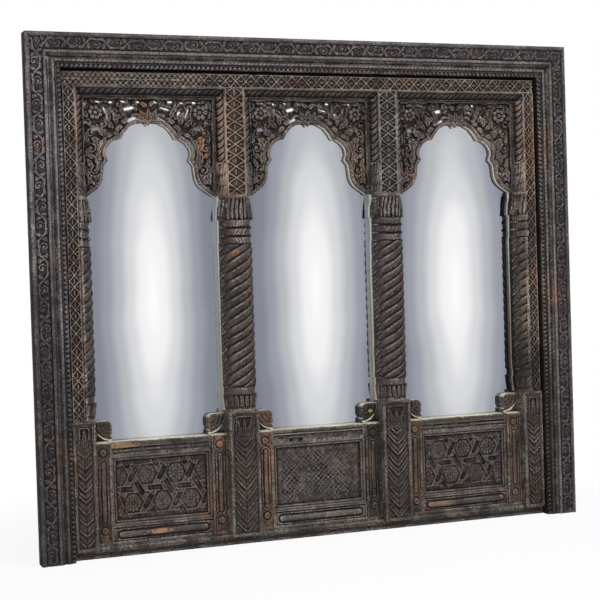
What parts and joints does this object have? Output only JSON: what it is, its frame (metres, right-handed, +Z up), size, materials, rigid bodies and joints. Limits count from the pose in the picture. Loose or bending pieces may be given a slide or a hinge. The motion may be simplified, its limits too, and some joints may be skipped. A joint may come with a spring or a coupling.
{
  "type": "carved triple-arch window mirror",
  "caption": "Rectangular carved wooden window frame with lobed arches on twisted columns over carved lower panels, holding wall mirror panes.",
  "frame": {"origin": "bottom centre of the whole piece: the middle of its width and depth, at the height of the frame's feet", "axes": "+X to the right along the width, +Z up, the carved front faces -Y and the back +Y"},
  "size_m": [1.5, 0.09, 1.3],
  "materials": {
    "dark_wood": "near-black stained hardwood, waxed, grey dust in the carving, worn edges",
    "carved_wood": "dark stained carved hardwood, worn on the high edges, traces of old paint",
    "worn_wood": "dark stained hardwood worn brown on the rounds and edges, traces of old paint",
    "plain_board": "unfinished backing board",
    "silvered_glass": "polished silvered glass",
    "steel": "brushed steel"
  },
  "bodies": {
    "root": {"outer_board_top": "dark_wood", "outer_board_left": "dark_wood", "outer_board_right": "dark_wood", "bead_moulding_top": "worn_wood", "bead_moulding_left": "worn_wood", "bead_moulding_right": "worn_wood", "lattice_head": "carved_wood", "lattice_jamb_left": "carved_wood", "lattice_mullion_left": "carved_wood", "lattice_jamb_right": "carved_wood", "lattice_mullion_right": "carved_wood", "rope_left_of_left_bay": "worn_wood", "rope_right_of_left_bay": "worn_wood", "rope_top_of_left_bay": "worn_wood", "spandrel_left": "carved_wood", "rope_left_of_middle_bay": "worn_wood", "rope_right_of_middle_bay": "worn_wood", "rope_top_of_middle_bay": "worn_wood", "spandrel_middle": "carved_wood", "rope_left_of_right_bay": "worn_wood", "rope_right_of_right_bay": "worn_wood", "rope_top_of_right_bay": "worn_wood", "spandrel_right": "carved_wood", "column_middle_left": "worn_wood", "column_middle_right": "worn_wood", "column_side_left": "worn_wood", "column_side_right": "worn_wood", "pedestal_middle_left": "carved_wood", "pedestal_middle_right": "carved_wood", "pedestal_side_left": "carved_wood", "pedestal_side_right": "carved_wood", "stile_left_left_bay": "worn_wood", "stile_right_left_bay": "worn_wood", "top_rail_left_bay": "worn_wood", "bottom_rail_left_bay": "worn_wood", "carved_panel_left": "carved_wood", "stile_left_middle_bay": "worn_wood", "stile_right_middle_bay": "worn_wood", "top_rail_middle_bay": "worn_wood", "bottom_rail_middle_bay": "worn_wood", "carved_panel_middle": "carved_wood", "stile_left_right_bay": "worn_wood", "stile_right_right_bay": "worn_wood", "top_rail_right_bay": "worn_wood", "bottom_rail_right_bay": "worn_wood", "carved_panel_right": "carved_wood", "plinth": "dark_wood", "mirror_pane_left": "silvered_glass", "mirror_pane_middle": "silvered_glass", "mirror_pane_right": "silvered_glass", "pane_ledge_board": "plain_board", "back_board": "plain_board", "hanger_plate_left": "steel", "hanger_screw_lower_left": "steel", "hanger_screw_upper_left": "steel", "hanger_plate_right": "steel", "hanger_screw_lower_right": "steel", "hanger_screw_upper_right": "steel"}
  },
  "joints": []
}
